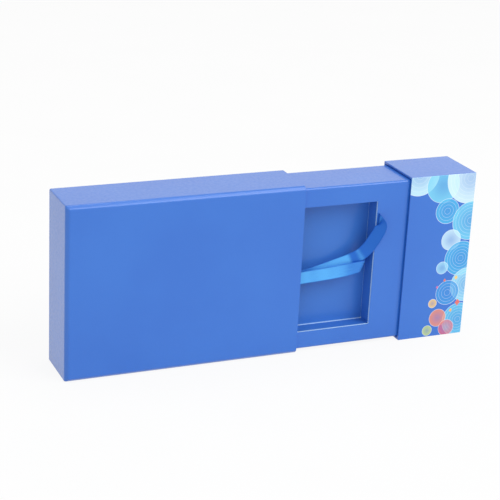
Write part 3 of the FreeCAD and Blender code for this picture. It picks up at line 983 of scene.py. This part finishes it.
def ribbon_edges():
    """The ribbon's two selvedges, with as many points each."""
    slit = Vector(((SLIT[0] + SLIT[2]) / 2, TRAY_LOW.y, (SLIT[1] + SLIT[3]) / 2))
    edges = []
    for side in (-1, 1):
        points = [
            slit + Vector(middle) * MM + Vector(across).normalized() * side * RIBBON_HALF
            for middle, across in ROUTE
        ]
        edges.append(smooth_line(points))
    return edges


def make_ribbon(edges, material):
    shape = bmesh.new()
    weave_and_sheen = shape.verts.layers.float_vector.new("weave_and_sheen")
    rings = []
    length = 0.0
    middles = [(lower + upper) / 2 for lower, upper in zip(*edges)]
    for i, (lower, upper) in enumerate(zip(*edges)):
        if i:
            length += (middles[i] - middles[i - 1]).length
        onward = middles[min(i + 1, len(middles) - 1)] - middles[max(i - 1, 0)]
        across = upper - lower
        normal = onward.cross(across).normalized()
        ring = []
        for side in (1, -1):
            for share, thickness in RIBBON_PROFILE[::side]:
                crown = RIBBON_CROWN * (1 - share * share)
                point = middles[i] + across * (share / 2) + normal * (crown + side * thickness)
                vertex = shape.verts.new(point)
                # The third value is the painted sheen: highlight and shade painted along the ribbon.
                vertex[weave_and_sheen] = (share * RIBBON_HALF / MM, length / MM, painted_sheen_at(length / MM))
                ring.append(vertex)
        rings.append(ring)
    shape.faces.new(rings[0])
    shape.faces.new(rings[-1][::-1])
    join(shape, rings)
    bmesh.ops.recalc_face_normals(shape, faces=shape.faces)
    ribbon = new_piece("satin_ribbon", mesh_from("satin_ribbon", shape), material)
    ribbon.data.shade_smooth()
    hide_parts("lift_ribbon")
    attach(ribbon, "drawer")
    return ribbon


def make_selvedges(edges, material):
    """The ribbon's corded edges: a fine round thread swept along each of them."""
    mesh = bpy.data.meshes.new("ribbon_selvedges")
    points = [point for edge in edges for point in edge]
    count = len(edges[0])
    links = [(i, i + 1) for start in (0, count) for i in range(start, start + count - 1)]
    mesh.from_pydata(points, links, [])
    piece = new_piece("ribbon_selvedges", mesh, material)
    tree = bpy.data.node_groups.new("corded edge", "GeometryNodeTree")
    tree.interface.new_socket("Edges", in_out="INPUT", socket_type="NodeSocketGeometry")
    radius = tree.interface.new_socket("Thread radius", in_out="INPUT", socket_type="NodeSocketFloat")
    sides = tree.interface.new_socket("Thread sides", in_out="INPUT", socket_type="NodeSocketInt")
    tree.interface.new_socket("Thread", in_out="OUTPUT", socket_type="NodeSocketGeometry")
    nodes = Nodes(tree, "NodeGroupOutput")
    names = ("Edges", "Thread radius", "Thread sides")
    given = {name: nodes.add("NodeGroupInput", output=name) for name in names}
    path = nodes.add("GeometryNodeMeshToCurve", {}, {"Mesh": given["Edges"]})
    circle = nodes.add(
        "GeometryNodeCurvePrimitiveCircle",
        {"mode": "RADIUS"},
        {"Resolution": given["Thread sides"], "Radius": given["Thread radius"]},
    )
    thread = nodes.add(
        "GeometryNodeCurveToMesh", {}, {"Curve": path, "Profile Curve": circle, "Fill Caps": True}
    )
    real = nodes.add("GeometryNodeRealizeInstances", {}, {"Geometry": thread})
    nodes.finish(nodes.add("GeometryNodeSetMaterial", {}, {"Geometry": real, "Material": material}))
    modifier = piece.modifiers.new("corded edge", "NODES")
    modifier.node_group = tree
    modifier[radius.identifier] = THREAD_RADIUS
    modifier[sides.identifier] = THREAD_SIDES
    settle(piece)
    piece.data.shade_smooth()
    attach(piece, "drawer")
    return piece


# ------------------------------------------------------------------- studio


def make_camera():
    azimuth, elevation, roll = (math.radians(angle) for angle in CAMERA_ANGLES)
    flat = math.cos(elevation)
    back = Vector((math.sin(azimuth) * flat, -math.cos(azimuth) * flat, math.sin(elevation)))
    level = Vector((math.cos(azimuth), math.sin(azimuth), 0.0))
    upright = back.cross(level)
    right = level * math.cos(roll) + upright * math.sin(roll)
    up = upright * math.cos(roll) - level * math.sin(roll)
    data = bpy.data.cameras.new("camera")
    data.lens = CAMERA_LENS
    data.sensor_width = CAMERA_SENSOR
    camera = linked("camera", data)
    turn = Matrix((right, up, back)).transposed().to_4x4()
    camera.matrix_world = Matrix.Translation(CAMERA_PLACE) @ turn
    bpy.context.scene.camera = camera


def soft_lamp(name, place, size, power):
    data = bpy.data.lights.new(name, "AREA")
    data.shape = "SQUARE"
    data.size = size
    data.energy = power
    lamp = linked(name, data)
    lamp.location = place
    lamp.rotation_euler = (Vector(LAMP_AIM) - Vector(place)).to_track_quat("-Z", "Y").to_euler()


def make_world():
    """White surroundings: full white where they are seen or mirrored, and softer where they give light."""
    world = bpy.data.worlds.new("studio")
    world.use_nodes = True
    nodes = Nodes(world.node_tree, "ShaderNodeOutputWorld")
    seen = nodes.rays("Camera", "Glossy", "Transmission")
    strength = seen * (1.0 - WORLD_LIGHT) + WORLD_LIGHT
    nodes.finish(nodes.add("ShaderNodeBackground", {}, {"Color": WHITE, "Strength": strength}))
    bpy.context.scene.world = world


def make_studio():
    make_camera()
    make_world()
    for name, place, size, power in LAMPS:
        soft_lamp(name, place, size, power)
    mesh = bpy.data.meshes.new("floor")
    corners = [(-1, -1), (1, -1), (1, 1), (-1, 1)]
    mesh.from_pydata([(x * FLOOR_REACH, y * FLOOR_REACH, 0.0) for x, y in corners], [], [(0, 1, 2, 3)])
    floor = new_piece("floor", mesh, studio_floor("pale floor"))
    bpy.context.scene.view_settings.view_transform = "Standard"


def dress_nodes(materials):
    """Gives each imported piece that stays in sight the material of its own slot."""
    slots = {part["node"]: part["material_slot"] for part in frame["record"]["subparts"]}
    for name, node in frame["nodes"].items():
        node.data.materials.clear()
        node.data.materials.append(materials[slots[name]])


def main():
    materials = {
        "blue_paper": covering_paper("blue paper", COVER_BLUES, rough=(0.37, 0.48), film=FILM),
        "lining_paper": covering_paper("lining paper", LINING_BLUES, rough=(0.45, 0.56), film=LINING_FILM),
        "printed_paper": printed_paper("printed paper", COVER_BLUES, rough=(0.35, 0.45), film=FILM),
        "greyboard": raw_board("greyboard", BOARD_GREYS, ply=0.3 * MM),
        "white_card": raw_board("white card", CARD_WHITES, ply=0.2 * MM),
        "satin_ribbon": satin("blue satin with painted sheen", SATIN_BLUES_AND_SHEEN),
    }
    make_studio()
    dress_nodes(materials)
    make_sleeve(materials["blue_paper"], materials["lining_paper"], materials["greyboard"])
    make_tray(materials["blue_paper"], materials["white_card"], materials["greyboard"])
    make_well_lining(materials["lining_paper"])
    make_cap(materials["printed_paper"], materials["blue_paper"], materials["greyboard"])
    edges = ribbon_edges()
    ribbon = make_ribbon(edges, materials["satin_ribbon"])
    selvedges = make_selvedges(edges, materials["satin_ribbon"])
    # The ribbon and its corded edges each get a mesh of their own.
    for piece in (ribbon, selvedges):
        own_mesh(piece)


main()
